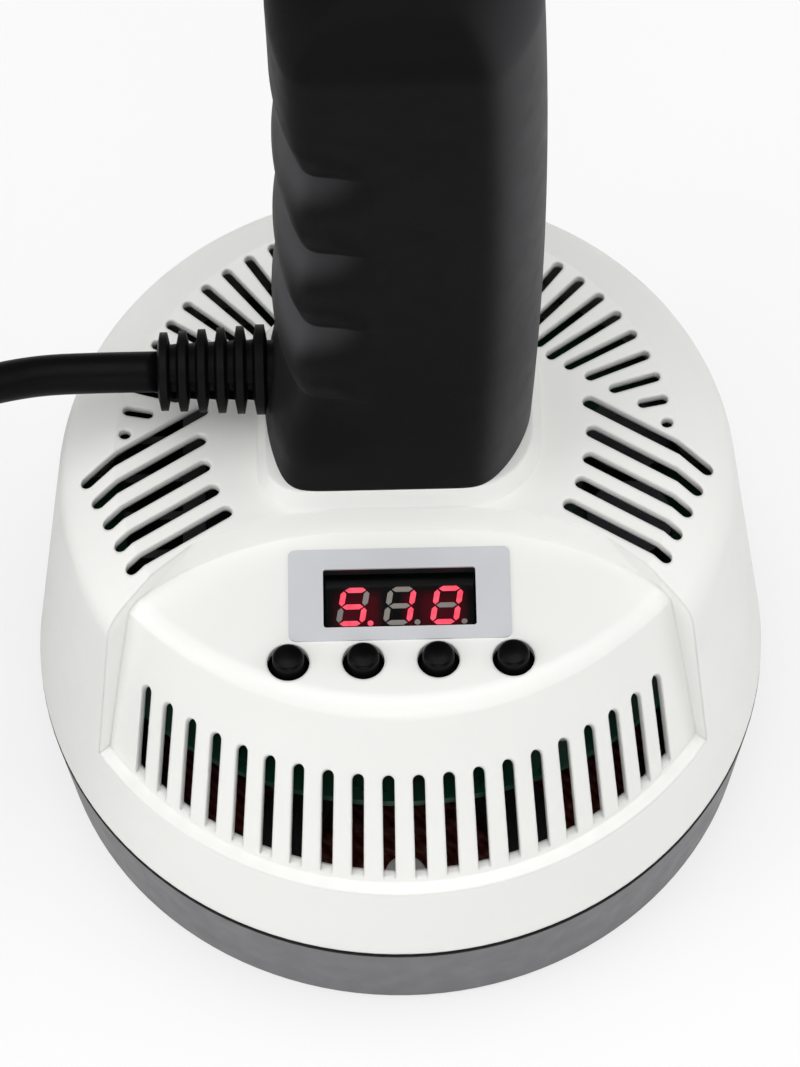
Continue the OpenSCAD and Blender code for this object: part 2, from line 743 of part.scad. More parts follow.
// film label round the display window
module display_label() {
    color(silver) translate([0, label_y, z_panel]) linear_extrude(label_t) difference() {
        round_rect(label_w, label_d, label_r);
        translate([0, -window_low]) round_rect(window_w, window_d, window_r);
    }
}

// three-digit display block that stands on its board and fills the window
module led_module() {
    color(black) translate([0, window_y, z_display_top]) linear_extrude(z_led - z_display_top)
        square([window_w - 6 * fit, window_d - 6 * fit], center = true);
}

// seven-segment digits: each bar is a slanted hexagon
digit_h = 7.5;
digit_w = 4.9;
digit_pitch = 8;
digit_slant = 9;
bar = 0.95;
function lean(p) = [p[0] + p[1] * tan(digit_slant), p[1]];
module segment(name) {
    across = [[-0.5, 0], [-0.32, 0.5], [0.32, 0.5], [0.5, 0], [0.32, -0.5], [-0.32, -0.5]];
    long = digit_w - bar;
    tall = (digit_h - bar) / 2;
    level = name == "a" ? 1 : name == "d" ? -1 : 0;
    side = name == "b" || name == "c" ? 1 : -1;
    half = name == "b" || name == "f" ? 1 : -1;
    flat = name == "a" || name == "d" || name == "g";
    polygon([for (p = across) lean(flat ? [p[0] * (long - 0.4), p[1] * bar + level * tall]
        : [p[1] * bar + side * long / 2, p[0] * (tall - 0.4) + half * tall / 2])]);
}
bar_h = 0.12;
point_d = 1;
module segments(sets) {
    for (i = [0:2], s = sets[i]) translate([(i - 1) * digit_pitch, window_y, z_led])
        linear_extrude(bar_h) segment(s);
}
module point(i) {
    translate([(i - 1) * digit_pitch + (digit_w + point_d) / 2, window_y - (digit_h - bar) / 2, z_led])
        cylinder(d = point_d, h = bar_h, $fn = 24);
}
module segments_on() {
    color([0.95, 0.35, 0.45]) {
        segments([["a", "f", "g", "c", "d"], ["b", "c"], ["a", "b", "c", "d", "e", "f"]]);
        point(0);
    }
}
module segments_off() {
    color([0.5, 0.5, 0.5]) {
        segments([["b", "e"], ["a", "d", "e", "f", "g"], ["g"]]);
        for (i = [1, 2]) point(i);
    }
}

// push-button: cap in its hole, flange below the panel and stem in its switch
stem_d = 3.4;
stem_in = 2;
module button(i) {
    flange_t = 1;
    flange_w = 0.4;
    flange_z = z_panel - wall - fit - flange_t;
    stem_z = z_display_top + switch_h - stem_in;
    cap_d = button_hole_d - 2 * button_clear;
    color(black) translate([button_xs[i], button_y, 0]) {
        translate([0, 0, flange_z]) cylinder(d = cap_d, h = z_panel + button_proud - flange_z);
        translate([0, 0, flange_z]) cylinder(d = button_hole_d + 2 * flange_w, h = flange_t);
        translate([0, 0, stem_z]) cylinder(d = stem_d, h = flange_z - stem_z);
    }
}
module button_left() { button(0); }
module button_mid_left() { button(1); }
module button_mid_right() { button(2); }
module button_right() { button(3); }

// switch bodies under the buttons, with a well for the stem
module tact_switches() {
    side = 6;
    well = stem_in + button_travel + fit;
    color(black) for (x = button_xs) translate([x, button_y, z_display_top]) difference() {
        translate([-side / 2, -side / 2, 0]) cube([side, side, switch_h]);
        translate([0, 0, switch_h - well]) cylinder(d = stem_d + fit, h = switch_h);
    }
}

module display_board() {
    color(green) difference() {
        translate([-display_w / 2, -display_front, z_display])
            cube([display_w, display_front - display_back, board_t]);
        for (p = display_posts) translate([p[0], p[1], z_display - cut])
            cylinder(d = small_hole_d, h = board_t + 2 * cut);
    }
}

module display_screws() {
    color(steel) for (p = display_posts) translate([p[0], p[1], z_display])
        small_screw(board_t + display_bite);
}

// flat cable from the display board down to the main board
module ribbon_cable() {
    w = 15;
    t = 1;
    behind = 3;
    color([0.7, 0.7, 0.72]) translate([-w / 2, -display_back - behind, z_board_top])
        cube([w, t, z_display - z_board_top]);
}

module main_board() {
    front_gap = 3.2;
    hole_d = 3.2;
    color(green) translate([0, 0, z_board]) linear_extrude(board_t) difference() {
        intersection() {
            circle(board_r, $fn = 144);
            translate([0, chin_y(z_board) + front_gap]) circle(chin_b - wall, $fn = 144);
        }
        for (a = screw_angles) translate(polar(column_r, a)) circle(d = column_d + 1);
        for (a = board_posts) translate(polar(post_r, a)) circle(d = hole_d);
    }
}

module board_screws() {
    cap_d = 5;
    cap_h = 2;
    reach = board_t + board_screw_bite;
    color(steel) for (a = board_posts) at(post_r, a, z_board_top) {
        cylinder(d = cap_d, h = cap_h);
        translate([0, 0, -reach]) cylinder(d = board_screw_d, h = reach);
    }
}

// finned heatsink on the board, fins towards the side wall
heat_w = 14;
heat_d = 40;
heat_h = 20;
heat_y = 6;
heat_edge = 4.5;
heat_x = heat_w / 2 - sqrt(pow(board_r - heat_edge, 2) - pow(heat_d / 2 + heat_y, 2));
module heatsink() {
    plate = 4;
    fins = 6;
    fin_t = 1.6;
    color(steel) translate([heat_x - heat_w / 2, heat_y - heat_d / 2, z_board_top]) {
        translate([heat_w - plate, 0, 0]) cube([plate, heat_d, heat_h]);
        for (i = [0:fins - 1]) translate([0, i * (heat_d - fin_t) / (fins - 1), 0])
            cube([heat_w, fin_t, heat_h]);
    }
}

// two flat transistors against the heatsink, each on three legs
module power_transistors() {
    body = [4.6, 15, 15];
    leg = 1;
    lift = 3;
    off = 10;
    legs = [2, 7, 12];
    face_x = heat_x + heat_w / 2;
    color(black) for (y = [-off, off]) translate([face_x, heat_y + y - body[1] / 2, z_board_top]) {
        translate([0, 0, lift]) cube(body);
        for (k = legs) translate([(body[0] - leg) / 2, k, 0]) cube([leg, leg, lift]);
    }
}

// two capacitors in from the board's right edge
can_d = 15;
can_edge = 18.3;
can_x = board_r - can_edge;
module electrolytic_capacitors() {
    can_h = 20;
    can_ys = [-8, 9];
    color([0.12, 0.14, 0.25]) for (y = can_ys) translate([can_x, y, z_board_top])
        cylinder(d = can_d, h = can_h);
}

// room between the two boards
board_gap = z_display - z_board_top;
module film_capacitor() {
    clear = 2.7;
    left = 16;
    behind = 16;
    body = [26, 11, board_gap - clear];
    color([0.75, 0.55, 0.15]) translate([-left, -display_back - behind - body[1], z_board_top]) cube(body);
}

// transformer beside the capacitors and behind the display board
module transformer() {
    core = [18, 16, 14];
    bobbin = [21, 10, 10];
    side_gap = 4;
    front_gap = 1.6;
    place = can_x - can_d / 2 - side_gap - bobbin[0] / 2;
    color([0.85, 0.75, 0.2]) translate([place, front_gap - display_back, z_board_top]) {
        translate([-core[0] / 2, 0, 0]) cube(core);
        translate([-bobbin[0] / 2, (core[1] - bobbin[1]) / 2, (core[2] - bobbin[2]) / 2]) cube(bobbin);
    }
}

module white_connector() {
    clear = 5.7;
    right = 18;
    behind = 18;
    body = [12, 8, board_gap - clear];
    shell = 1.2;
    color(white) translate([right, -display_back - behind - body[1], z_board_top]) difference() {
        cube(body);
        translate([shell, shell, shell]) cube([body[0] - 2 * shell, body[1] - 2 * shell, body[2]]);
    }
}

// block where the mains leads end on the board
lead_gap = 2.6;
inner_lead_d = 2.2;
block = [10, 8, 10];
lead_left = 5;
lead_front = 0.8;
lead_x = handle_x - lead_left;
lead_y = cord_y - lead_front;
lead_bend = 5;
module terminal_block() {
    behind = 2.8;
    color([0.15, 0.45, 0.3]) translate([lead_x - block[0] / 2, lead_y + behind - block[1], z_board_top])
        cube(block);
}

// one mains lead: out of the strain relief, round a bend and down to the block
module mains_lead(y) {
    start = inner_x + relief_flange;
    z_end = z_board_top + block[2];
    translate([0, y, z_cord]) {
        translate([start, 0, 0]) rotate([0, 90, 0])
            cylinder(d = inner_lead_d, h = lead_x - lead_bend - start);
        translate([lead_x - lead_bend, 0, -lead_bend]) rotate([90, 0, 0]) rotate_extrude(angle = 90)
            translate([lead_bend, 0]) circle(d = inner_lead_d);
        translate([lead_x, 0, z_end - z_cord]) cylinder(d = inner_lead_d, h = z_cord - lead_bend - z_end);
    }
}
module mains_lead_brown() { color([0.35, 0.18, 0.1]) mains_lead(lead_y - lead_gap / 2); }
module mains_lead_blue() { color([0.1, 0.25, 0.6]) mains_lead(lead_y + lead_gap / 2); }

// red leads from the coil up to the board
module coil_leads() {
    z0 = z_coil + wire_d;
    color([0.7, 0.08, 0.08]) for (a = lead_angles) at(coil_out - wire_d / 2, a, z0)
        cylinder(d = lead_d, h = z_board - z0);
}

// flat coil of thick wire, wound in one layer
module induction_coil() {
    dip = 0.6;
    first = coil_r + wire_d / 2;
    color(copper) translate([0, 0, z_coil]) rotate_extrude() {
        for (i = [0:coil_turns - 1]) translate([first + i * coil_pitch, wire_d / 2]) circle(d = wire_d);
        translate([first, dip]) square([coil_pitch * (coil_turns - 1), wire_d - 2 * dip]);
    }
}

module coil_former() {
    color([0.2, 0.18, 0.16]) rotate_extrude() {
        translate([0, floor_t]) square([former_r, former_t]);
        translate([former_r - former_rim, floor_t]) square([former_rim, z_bars - floor_t]);
        translate([0, floor_t]) square([hub_r, z_bars - floor_t]);
    }
}

// ferrite bars that rest on the former's hub and rim
module ferrite_bars() {
    on_hub = 4;
    from_rim = 1;
    color([0.25, 0.24, 0.24]) for (a = [0:60:300]) rotate(a) translate([hub_r - on_hub, -bar_w / 2, z_bars])
        cube([former_r - from_rim - hub_r + on_hub, bar_w, bar_t]);
}

// square fan frame with a round duct, a hub on four arms and corner holes
module fan_frame() {
    corner = 4;
    arm = 2.4;
    color(black) translate([0, fan_y, z_fan]) difference() {
        union() {
            linear_extrude(fan_h) difference() { round_rect(fan_w, fan_w, corner); circle(d = fan_bore); }
            linear_extrude(arm) {
                circle(d = fan_hub);
                for (a = [45, 135]) rotate(a) square([fan_bore + 1, arm], center = true);
            }
        }
        translate([0, 0, -cut]) cylinder(d = fan_pin + fit, h = arm + 2 * cut);
        for (x = [-1, 1], y = [-1, 1]) translate([x * fan_holes, y * fan_holes, -cut])
            cylinder(d = small_hole_d, h = fan_h + 2 * cut);
    }
}

// fan rotor: hub, shaft and seven pitched blades
module fan_rotor() {
    blades = 7;
    blade_t = 1.2;
    root = 1;
    lift = 2.9;
    tip_gap = 0.8;
    top_gap = 0.4;
    shaft_z = 0.2;
    pitch = 40;
    tall = fan_h - lift - top_gap;
    color([0.16, 0.16, 0.17]) translate([0, fan_y, z_fan]) {
        translate([0, 0, lift]) cylinder(d = fan_hub, h = tall);
        translate([0, 0, shaft_z]) cylinder(d = fan_pin, h = lift);
        translate([0, 0, lift]) intersection() {
            cylinder(d = fan_bore - 2 * tip_gap, h = tall);
            for (i = [0:blades - 1]) rotate(i * 360 / blades)
                translate([fan_hub / 2 - root, 0, tall / 2]) rotate([pitch, 0, 0])
                translate([0, -fan_w / 4, -blade_t / 2]) cube([fan_w / 2, fan_w / 2, blade_t]);
        }
    }
}

module fan_screws() {
    color(steel) for (p = fan_spots) translate([p[0], p[1], z_fan]) small_screw(fan_h + fan_bite);
}

module base_screws() {
    color(steel) for (a = screw_angles) at(column_r, a, well_z) screw(well_gap + screw_bite);
}

module handle_screws() {
    color(steel) for (p = handle_spots) translate([p[0], p[1], z_handle - plate_t])
        screw(plate_t + screw_bite);
}

// tube through the points of a route, with rings square to it
cord_sides = 10;
function unit(v) = v / norm(v);
function tangent(r, i) = unit(r[min(i + 1, len(r) - 1)] - r[max(i - 1, 0)]);
function tube_ring(c, t, d, side) =
    [for (k = [0:cord_sides - 1])
        let (a = k * 360 / cord_sides) c + d / 2 * (cos(a) * side + sin(a) * cross(t, side))];
module tube(route, d, side) {
    loft([for (i = [0:len(route) - 1]) tube_ring(route[i], tangent(route, i), d, side)]);
}

module cord() {
    start = [wall_x - relief_len + relief_tip, cord_y, z_cord];
    fall = (z_cord - cord_d / 2 - tie_t) / 100;
    points = concat([start], [for (p = lead_route) [p[0], cord_y, z_cord - p[1] * fall]]);
    color(black) tube(points, cord_d, [0, 1, 0]);
}

// wound length of the lead: two turns wide and three high
coil_rows = 3;
coil_cols = 2;
module bundle_section() {
    w = (coil_cols - 1) * cord_d;
    h = (coil_rows - 1) * cord_d;
    translate([bundle_r, cord_d * coil_rows / 2 + tie_t]) {
        for (x = [-1, 1], y = [-1, 0, 1]) translate([x * w / 2, y * h / 2]) circle(d = cord_d);
        square([w + cord_d / 2, h + cord_d / 2], center = true);
    }
}
module cord_coil() { color(black) translate([coil_x, coil_y, 0]) rotate_extrude() bundle_section(); }

module cord_tie() {
    w = coil_cols * cord_d + 2 * fit;
    h = coil_rows * cord_d + 2 * fit;
    span = 14;
    color(black) translate([coil_x, coil_y, 0]) rotate(120) rotate_extrude(angle = span)
        translate([bundle_r, h / 2 - fit + tie_t]) difference() {
            square([w + 2 * tie_t, h + 2 * tie_t - 2 * fit], center = true);
            square([w, h], center = true);
        }
}

// plug beside the coil, with its own strain relief and two round pins
plug_len = 36;
plug_w = 27;
plug_t = 13.6;
plug_neck = 16;
tail_x = coil_x + bundle_r + cord_d / 2;
tail_z = (coil_rows - 0.5) * cord_d + tie_t;
plug_y = coil_y - tail_route[len(tail_route) - 1][0];
plug_z = plug_t / 2;
module cord_tail() {
    drop = (tail_z - plug_z) / 100;
    points = [for (p = tail_route) [tail_x, coil_y - p[0], tail_z - p[1] * drop]];
    color(black) tube(points, cord_d, [-1, 0, 0]);
}
module mains_plug() {
    half = plug_w / 2;
    flare = 14;
    bevel = [4, 6];
    neck_r = [cord_d / 2 + 1, plug_t / 2 - 1.2];
    color(black) translate([tail_x, plug_y, plug_z]) rotate([90, 0, 0]) {
        rotate_extrude() polygon([[0, 0], [neck_r[0], 0], [neck_r[1], plug_neck], [0, plug_neck]]);
        translate([0, plug_t / 2, plug_neck]) rotate([90, 0, 0]) linear_extrude(plug_t)
            polygon([[-plug_t / 2, 0], [plug_t / 2, 0], [half, flare], [half, plug_len - bevel[1]],
                [half - bevel[0], plug_len], [bevel[0] - half, plug_len],
                [-half, plug_len - bevel[1]], [-half, flare]]);
    }
}
module plug_pins() {
    pin_d = 4;
    pin_len = 19;
    gap = 18.6;
    color(steel) for (x = [-1, 1]) translate([tail_x + x * gap / 2, plug_y - plug_neck - plug_len, plug_z])
        rotate([90, 0, 0]) cylinder(d = pin_d, h = pin_len);
}

sealing_base();
housing();
handle();
strain_relief();
display_label();
led_module();
segments_off();
segments_on();
button_left();
button_mid_left();
button_mid_right();
button_right();
tact_switches();
display_board();
display_screws();
ribbon_cable();
main_board();
board_screws();
heatsink();
power_transistors();
electrolytic_capacitors();
film_capacitor();
transformer();
white_connector();
terminal_block();
mains_lead_brown();
mains_lead_blue();
coil_leads();
induction_coil();
coil_former();
ferrite_bars();
fan_frame();
fan_rotor();
fan_screws();
base_screws();
handle_screws();
cord();
cord_coil();
cord_tail();
cord_tie();
mains_plug();
plug_pins();
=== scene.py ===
"""Looks of the handheld induction cap sealer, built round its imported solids, in metres and in the same frame."""
import math

import bpy
import numpy as np
from mathutils import Matrix, Vector


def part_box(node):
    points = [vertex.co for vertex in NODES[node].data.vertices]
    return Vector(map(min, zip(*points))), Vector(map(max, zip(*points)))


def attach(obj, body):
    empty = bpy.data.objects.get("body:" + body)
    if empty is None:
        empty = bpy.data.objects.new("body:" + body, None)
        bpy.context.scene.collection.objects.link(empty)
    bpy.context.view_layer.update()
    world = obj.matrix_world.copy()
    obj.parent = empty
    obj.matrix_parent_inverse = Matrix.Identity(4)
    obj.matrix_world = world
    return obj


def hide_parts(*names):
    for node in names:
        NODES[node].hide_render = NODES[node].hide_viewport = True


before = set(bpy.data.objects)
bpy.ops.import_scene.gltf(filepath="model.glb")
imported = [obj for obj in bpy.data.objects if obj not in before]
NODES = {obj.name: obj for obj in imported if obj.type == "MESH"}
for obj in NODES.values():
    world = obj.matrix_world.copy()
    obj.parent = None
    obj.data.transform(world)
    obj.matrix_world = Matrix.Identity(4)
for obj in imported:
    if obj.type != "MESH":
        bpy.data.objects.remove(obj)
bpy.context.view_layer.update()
scene = bpy.context.scene
MM = 0.001


# Camera: fitted to the ellipses of the seam, deck and panel in an 800 x 1067 frame
def make_camera():
    """A long lens 1.1 m from the drum, 58.85 degrees above it, with a slight roll."""
    elevation, roll, distance = math.radians(58.85), math.radians(-1.24), 1.1
    target = Vector((0.0003, 0.0101, 0.04))
    focal_px, frame_h = 6155.6, 1067
    forward = Vector((0, math.cos(elevation), -math.sin(elevation)))
    right, up = Vector((1, 0, 0)), Vector((0, math.sin(elevation), math.cos(elevation)))
    x = right * math.cos(roll) + up * math.sin(roll)
    y = up * math.cos(roll) - right * math.sin(roll)
    data = bpy.data.cameras.new("camera")
    data.sensor_fit = "AUTO"
    data.sensor_width = 36
    data.lens = focal_px / frame_h * 36
    data.clip_start, data.clip_end = 0.05, 20
    cam = bpy.data.objects.new("camera", data)
    scene.collection.objects.link(cam)
    turn = Matrix((x, y, -forward)).transposed().to_4x4()
    cam.matrix_world = Matrix.Translation(target - forward * distance) @ turn
    scene.camera = cam


make_camera()


# Mesh helpers
def grid_mesh(name, points, closed_u, closed_v=False, smooth=True):
    """A mesh object from a grid of points (rows, columns, 3). Columns close round when closed_u, rows when closed_v."""
    rows, cols = points.shape[:2]
    index = np.arange(rows * cols).reshape(rows, cols)
    a = index if closed_v else index[:-1]
    b = np.roll(index, -1, 0) if closed_v else index[1:]
    if closed_u:
        quads = np.stack([a, np.roll(a, -1, 1), np.roll(b, -1, 1), b], -1)
    else:
        quads = np.stack([a[:, :-1], a[:, 1:], b[:, 1:], b[:, :-1]], -1)
    return mesh_object(name, points.reshape(-1, 3), quads.reshape(-1, 4), smooth)


def mesh_object(name, verts, faces, smooth=True):
    """A mesh object from vertices and quads, smooth or flat shaded."""
    mesh = bpy.data.meshes.new(name)
    mesh.vertices.add(len(verts))
    mesh.vertices.foreach_set("co", np.asarray(verts, np.float32).ravel())
    mesh.loops.add(faces.size)
    mesh.loops.foreach_set("vertex_index", faces.astype(np.int32).ravel())
    mesh.polygons.add(len(faces))
    mesh.polygons.foreach_set("loop_start", np.arange(0, faces.size, faces.shape[1], dtype=np.int32))
    mesh.polygons.foreach_set("use_smooth", np.full(len(faces), smooth))
    mesh.update(calc_edges=True)
    mesh.validate()
    obj = bpy.data.objects.new(name, mesh)
    scene.collection.objects.link(obj)
    return obj


def lathe(name, profile, centre, sides=64):
    """Turns a profile of (radius, height) in millimetres about an upright axis through centre."""
    p = np.asarray(profile, float) * MM
    t = np.linspace(0, 2 * np.pi, sides, endpoint=False)
    ring = np.stack([np.cos(t), np.sin(t), np.zeros(sides)], -1)
    points = p[:, None, :1] * ring[None] + p[:, None, 1:] * np.array([0, 0, 1.0]) + np.asarray(centre) * MM
    return grid_mesh(name, points, True)


def smoothstep(v):
    """0 below 0, 1 above 1, and a cubic with level ends between."""
    s = np.clip(v, 0, 1)
    return s * s * (3 - 2 * s)


def through(points, steps):
    """A smooth curve through points, by the Catmull-Rom rule, with that many steps between two points."""
    p = np.asarray(points, float)
    q = np.vstack([2 * p[0] - p[1], p, 2 * p[-1] - p[-2]])
    t = np.linspace(0, 1, steps, endpoint=False)[None, :, None]
    a, b, c, d = q[:-3, None], q[1:-2, None], q[2:-1, None], q[3:, None]
    curve = 0.5 * (2 * b + (c - a) * t + (2 * a - 5 * b + 4 * c - d) * t ** 2 + (3 * b - a - 3 * c + d) * t ** 3)
    return np.vstack([curve.reshape(-1, 3), p[-1:]])


def tube(name, line, radius, sides=24):
    """A round tube along a line that is never upright: each ring is square to the line, and both ends are closed."""
    t = np.gradient(line, axis=0)
    t /= np.linalg.norm(t, axis=1, keepdims=True)
    side = np.cross(t, [0, 0, 1.0])
    side /= np.linalg.norm(side, axis=1, keepdims=True)
    other = np.cross(t, side)
    a = np.linspace(0, 2 * np.pi, sides, endpoint=False)
    ring = np.cos(a)[None, :, None] * side[:, None] + np.sin(a)[None, :, None] * other[:, None]
    rings = line[:, None] + radius * ring
    ends = [np.repeat(line[i][None, None], sides, 1) for i in (0, -1)]
    return grid_mesh(name, np.concatenate([ends[0], rings, ends[1]]), True)


# Mains lead: one line from the strain relief, down to the floor, round the coil and out to the plug
RELIEF_LOW, RELIEF_HIGH = (np.array(v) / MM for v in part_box("strain_relief"))
COIL_LOW, COIL_HIGH = (np.array(v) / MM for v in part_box("cord_coil"))
CORD_D = 7.0
CORD_X = RELIEF_LOW[0]
CORD_Y, CORD_Z = (RELIEF_LOW[1:] + RELIEF_HIGH[1:]) / 2
FLOOR_Z = COIL_LOW[2] + CORD_D / 2
COIL = (COIL_LOW[:2] + COIL_HIGH[:2]) / 2
R_OUT, R_IN = 43.5, 36.5


def cord_points():
    """The lead's points in millimetres: the hanging stretch, the coil's turns and the tail, as three arrays."""
    fall = CORD_Z - FLOOR_Z
    lead = np.array([
        [CORD_X, 0], [-50, 0], [-58, 0.3], [-63.5, 1.3], [-68.8, 3.1], [-73.8, 5.6], [-78.4, 8.9], [-82.6, 12.7],
        [-86.2, 17.2], [-88.8, 21.4], [-90.9, 26], [-95.9, 38.7], [-100.8, 51.3], [-105.8, 64], [-110.7, 76.7],
        [-112.9, 81.4], [-116.5, 86.8], [-120.9, 91.3], [-126.1, 95], [-131.8, 97.7], [-137.8, 99.5], [-144.1, 100]])
    lead = np.stack([lead[:, 0], np.full(len(lead), CORD_Y), CORD_Z - lead[:, 1] / 100 * fall], -1)
    turn = np.radians(np.arange(0, 1710, 9.0))
    move = lambda k: smoothstep((np.degrees(turn) - (260 + 270 * k)) / 90)
    radius = R_OUT + (R_IN - R_OUT) * (move(0) - move(2) + move(3) - move(4))
    height = FLOOR_Z + CORD_D * (move(1) + move(3))
    angle = -np.pi / 2 - turn
    coil = np.stack([COIL[0] + radius * np.cos(angle), COIL[1] + radius * np.sin(angle), height], -1)
    tail = np.array([[0, 0], [6, 4], [12, 15], [18, 33], [24, 55], [30, 76], [36, 91], [42, 98.6],
                     [46, 100], [48, 100]])
    drop = FLOOR_Z + 2 * CORD_D - 6.8
    tail = np.stack([np.full(len(tail), COIL[0] + R_OUT), COIL[1] - tail[:, 0],
                     FLOOR_Z + 2 * CORD_D - tail[:, 1] / 100 * drop], -1)
    return lead, coil, tail


CORD_LINE = through(np.vstack(cord_points()) * MM, 4)
cord = tube("mains_lead", CORD_LINE, CORD_D / 2 * MM)
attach(cord, "sealer")
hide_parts("cord", "cord_coil", "cord_tail")


# Handle: the solid's own section formula on a finer grid, so that bulges and edges are smooth
def paint_grip_light(obj, bulges):
    """Adds the point attribute of painted light and shade: painted highlights on the upper sides of the bulges and
    round both flanks, painted shade under the bulges, which lie between two heights."""
    normal = np.empty((len(obj.data.vertices), 3), np.float32)
    place = np.empty_like(normal)
    obj.data.vertices.foreach_get("normal", normal.ravel())
    obj.data.vertices.foreach_get("co", place.ravel())
    up = np.where((place[:, 2] > bulges[0]) & (place[:, 2] < bulges[1]), normal[:, 2], 0)
    plain, upper, under, left, right = 0.11, 0.75, 0.09, 0.3, 1.1
    towards_left = 0.3 + 0.7 * smoothstep((-place[:, 0] / MM - 3) / 15)
    left_flank = smoothstep((-normal[:, 0] - 0.2) / 0.8) * smoothstep((up + 0.05) / 0.2)
    right_flank = np.maximum(normal[:, 0], 0) ** 2
    # painted highlight on the bulges' upper sides and both flanks, painted shade under the bulges
    painted_light = plain + upper * smoothstep((up - 0.07) / 0.25) * towards_left - under * smoothstep(-up / 0.15)
    painted_light += left * left_flank + right * right_flank
    obj.data.attributes.new("painted_light", "FLOAT", "POINT").data.foreach_set("value", painted_light.astype(np.float32))


def make_handle():
    """A square of rounded corners whose left and right sides are arched, swept up a bowed post. Parabolic bulges meet
    in crisp creases on the left side, and the section shrinks over a quarter circle at the top."""
    low, high = (np.array(v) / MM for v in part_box("handle"))
    z0, z_top, middle_y = low[2], high[2], (low[1] + high[1]) / 2
    foot_a, top_a, half_d, corner = 22.9, 21.8, 18.0, 12
    middle, bow, bow_peak = 0.5, 2.7, 0.65
    first, pitch, depth, peak, fade = z0 + 27.0, 21.6, 2.2, 0.5, 20
    top, sides, rows = 12.0, 256, 70
    bulges = 3 + peak
    last, shoulder = first + bulges * pitch, z_top - top
    left_arch, right_arch, spread = 0.17, 0.36, np.radians(6)
    reach_x, reach_w = 3, 13
    dome = np.radians(np.linspace(0, 90, 25))
    z = np.concatenate([np.linspace(z0, first, 60)[:-1], first + np.arange(int(bulges * rows)) / rows * pitch,
                        np.linspace(last, shoulder, 12)[:-1], shoulder + top * np.sin(dome)])
    shrink = np.concatenate([np.zeros(len(z) - len(dome)), top * (1 - np.cos(dome))])
    rise = (z - z0) / (z_top - z0)
    half_x = foot_a + (top_a - foot_a) * rise
    centre = middle + bow * (1 - (1 - rise / bow_peak) ** 2)
    a = np.linspace(0, 2 * np.pi, sides, endpoint=False)
    a = a + spread * np.sin(4 * a)
    c, s = np.cos(a), np.sin(a)
    reach = (np.abs(c) ** corner + np.abs(s) ** corner) ** (1 / corner)
    ux, uy = c / reach, s / reach
    arch = np.where(ux < 0, left_arch, right_arch)
    x = half_x[:, None] * (ux * (1 - arch * uy ** 2))[None]
    y = np.repeat(half_d * uy[None], len(z), 0)
    u = (z - first) / pitch
    part = u - np.floor(u)
    bulge = np.where(part < peak, 1 - part / peak, (part - peak) / (1 - peak)) ** 2
    crease = np.where(u < 0, 1 - smoothstep((first - z) / fade), np.where(u > bulges, 0, bulge))
    side = smoothstep((-x - reach_x) / reach_w)
    scale = 1 - shrink[:, None] / half_d - depth * crease[:, None] * side / np.hypot(x, y)
    points = np.stack([centre[:, None] + x * scale, middle_y + y * scale, np.repeat(z[:, None], sides, 1)], -1)
    foot = np.repeat(np.array([[[middle, middle_y, z0]]]), sides, 1)
    crown = np.repeat(np.array([[[centre[-1], middle_y, z_top]]]), sides, 1)
    obj = grid_mesh("handle_grip", np.concatenate([foot, points, crown]) * MM, True)
    # painted light and shade on the grip, kept as a point attribute
    paint_grip_light(obj, (first * MM, shoulder * MM))
    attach(obj, "sealer")
    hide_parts("handle")
    return obj


handle = make_handle()


# Buttons: turned caps with rolled edges and a shallow crown, on the flange and stem of the solids
def make_button(name):
    """A turned profile: stem, flange, straight cap, a quarter circle at its edge, a crown that falls with r squared."""
    low, high = (np.array(v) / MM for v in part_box("button_" + name))
    centre = (low[:2] + high[:2]) / 2
    stem_r, flange_r, cap_r, edge, crown = 1.7, 4.0, 2.7, 0.9, 0.22
    top, cap_h, flange_t = high[2], 5.2, 1.0
    flange_z = top - cap_h
    flange_top = flange_z + flange_t
    bend = np.radians(np.linspace(0, 90, 9))
    r = np.linspace(cap_r - edge, 0, 7)[1:]
    flat = cap_r - edge
    profile = [(0, low[2]), (stem_r, low[2]), (stem_r, flange_z), (flange_r, flange_z), (flange_r, flange_top),
               (cap_r, flange_top)]
    profile += list(zip(flat + edge * np.cos(bend), top - crown - edge + edge * np.sin(bend)))
    profile += list(zip(r, top - crown * (r / flat) ** 2))
    obj = lathe("cap_" + name, profile, (*centre, 0))
    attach(obj, name + "_button")
    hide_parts("button_" + name)
    return obj


buttons = [make_button(name) for name in ("left", "mid_left", "mid_right", "right")]


# Materials
def material(name, colour, roughness, **extra):
    """A principled material; extra sets further sockets by name."""
    m = bpy.data.materials.new(name)
    m.use_nodes = True
    shader = m.node_tree.nodes["Principled BSDF"]
    shader.inputs["Base Color"].default_value = (*colour, 1)
    shader.inputs["Roughness"].default_value = roughness
    for key, value in extra.items():
        shader.inputs[key.replace("_", " ")].default_value = value
    return m


def node(m, kind, **values):
    """A new node in m; values set its inputs by name, or its properties where no input has that name."""
    n = m.node_tree.nodes.new(kind)
    for key, value in values.items():
        label = key.replace("_", " ")
        if label in n.inputs:
            n.inputs[label].default_value = value
        else:
            setattr(n, key, value)
    return n


def link(m, out, into):
    """Joins an output socket to an input."""
    m.node_tree.links.new(out, into)


def coords(m):
    """The Object coordinates, in metres in the part's frame."""
    return node(m, "ShaderNodeTexCoord").outputs["Object"]


def noise(m, scale, detail=4.0, rough=0.5):
    """Cloudy noise between 0 and 1."""
    n = node(m, "ShaderNodeTexNoise", Scale=scale, Detail=detail, Roughness=rough)
    link(m, coords(m), n.inputs["Vector"])
    return n.outputs["Fac"]


def ramp(m, fac, stops):
    """A colour ramp through stops of (position, grey value or colour)."""
    r = node(m, "ShaderNodeValToRGB")
    while len(r.color_ramp.elements) < len(stops):
        r.color_ramp.elements.new(0.5)
    for e, (pos, value) in zip(r.color_ramp.elements, stops):
        e.position = pos
        e.color = (*value, 1) if isinstance(value, tuple) else (value, value, value, 1)
    link(m, fac, r.inputs["Fac"])
    return r.outputs["Color"]


